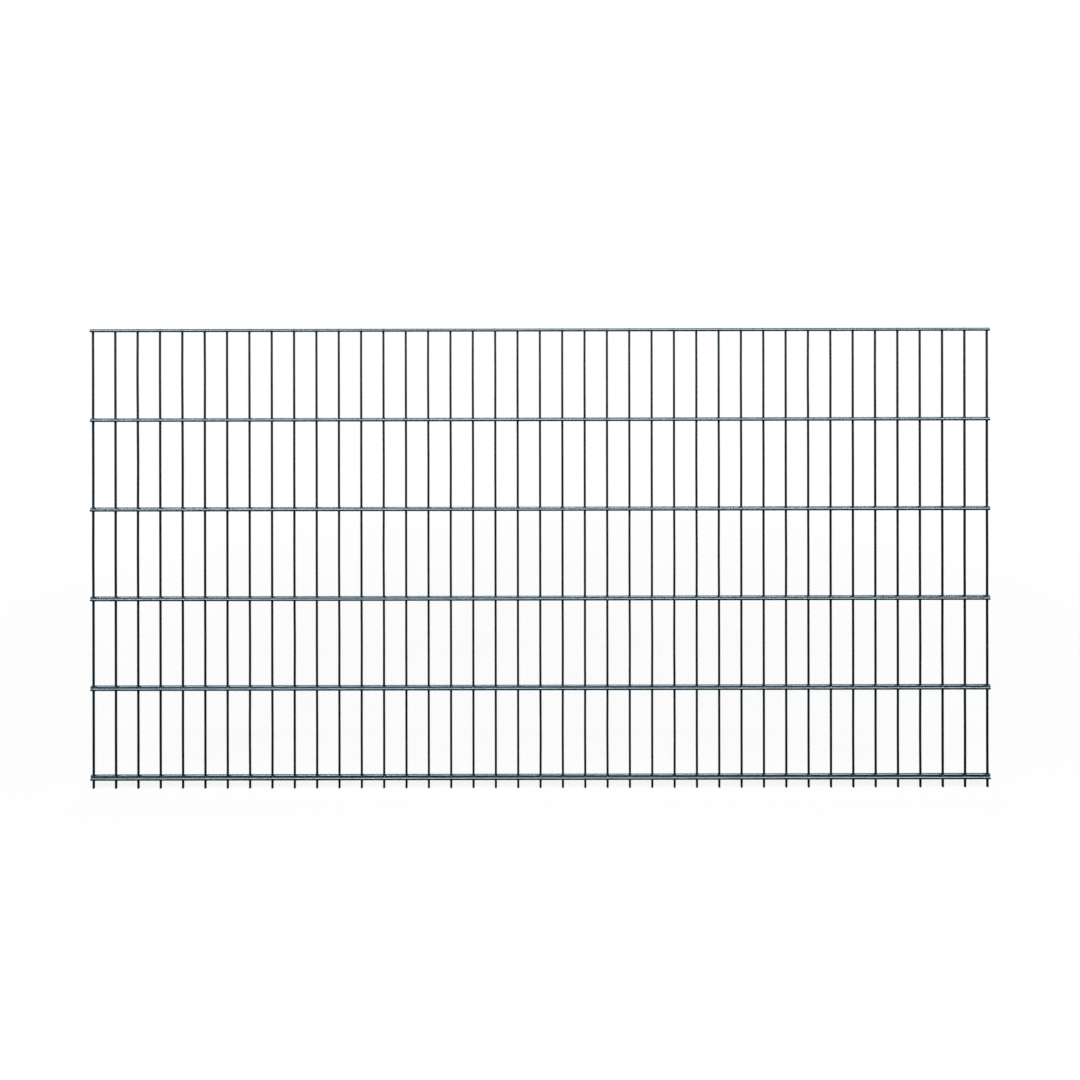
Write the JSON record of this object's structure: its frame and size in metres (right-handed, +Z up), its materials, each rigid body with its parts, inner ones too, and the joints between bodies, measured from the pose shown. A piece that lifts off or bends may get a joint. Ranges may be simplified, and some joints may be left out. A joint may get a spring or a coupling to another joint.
{
  "type": "welded double-rod mesh fence panel",
  "caption": "Rigid welded mesh fence panel: slim upright wires held between pairs of level bars, smooth top edge, short spikes along the foot.",
  "frame": {"origin": "middle of the flat foot end of the middle upright, on the ground line", "axes": "+X along the panel's width, +Y through the panel towards its rear face, +Z up"},
  "size_m": [2.018, 0.016, 1.028],
  "materials": {
    "powder_coat": "semi-gloss powder coat over galvanised steel wire"
  },
  "bodies": {
    "root": {"front_bar_1": "powder_coat", "front_bar_2": "powder_coat", "front_bar_3": "powder_coat", "front_bar_4": "powder_coat", "front_bar_5": "powder_coat", "front_bar_6": "powder_coat", "rear_bar_1": "powder_coat", "rear_bar_2": "powder_coat", "rear_bar_3": "powder_coat", "rear_bar_4": "powder_coat", "rear_bar_5": "powder_coat", "rear_bar_6": "powder_coat", "upright_01": "powder_coat", "upright_02": "powder_coat", "upright_03": "powder_coat", "upright_04": "powder_coat", "upright_05": "powder_coat", "upright_06": "powder_coat", "upright_07": "powder_coat", "upright_08": "powder_coat", "upright_09": "powder_coat", "upright_10": "powder_coat", "upright_11": "powder_coat", "upright_12": "powder_coat", "upright_13": "powder_coat", "upright_14": "powder_coat", "upright_15": "powder_coat", "upright_16": "powder_coat", "upright_17": "powder_coat", "upright_18": "powder_coat", "upright_19": "powder_coat", "upright_20": "powder_coat", "upright_21": "powder_coat", "upright_22": "powder_coat", "upright_23": "powder_coat", "upright_24": "powder_coat", "upright_25": "powder_coat", "upright_26": "powder_coat", "upright_27": "powder_coat", "upright_28": "powder_coat", "upright_29": "powder_coat", "upright_30": "powder_coat", "upright_31": "powder_coat", "upright_32": "powder_coat", "upright_33": "powder_coat", "upright_34": "powder_coat", "upright_35": "powder_coat", "upright_36": "powder_coat", "upright_37": "powder_coat", "upright_38": "powder_coat", "upright_39": "powder_coat", "upright_40": "powder_coat", "upright_41": "powder_coat"}
  },
  "joints": []
}
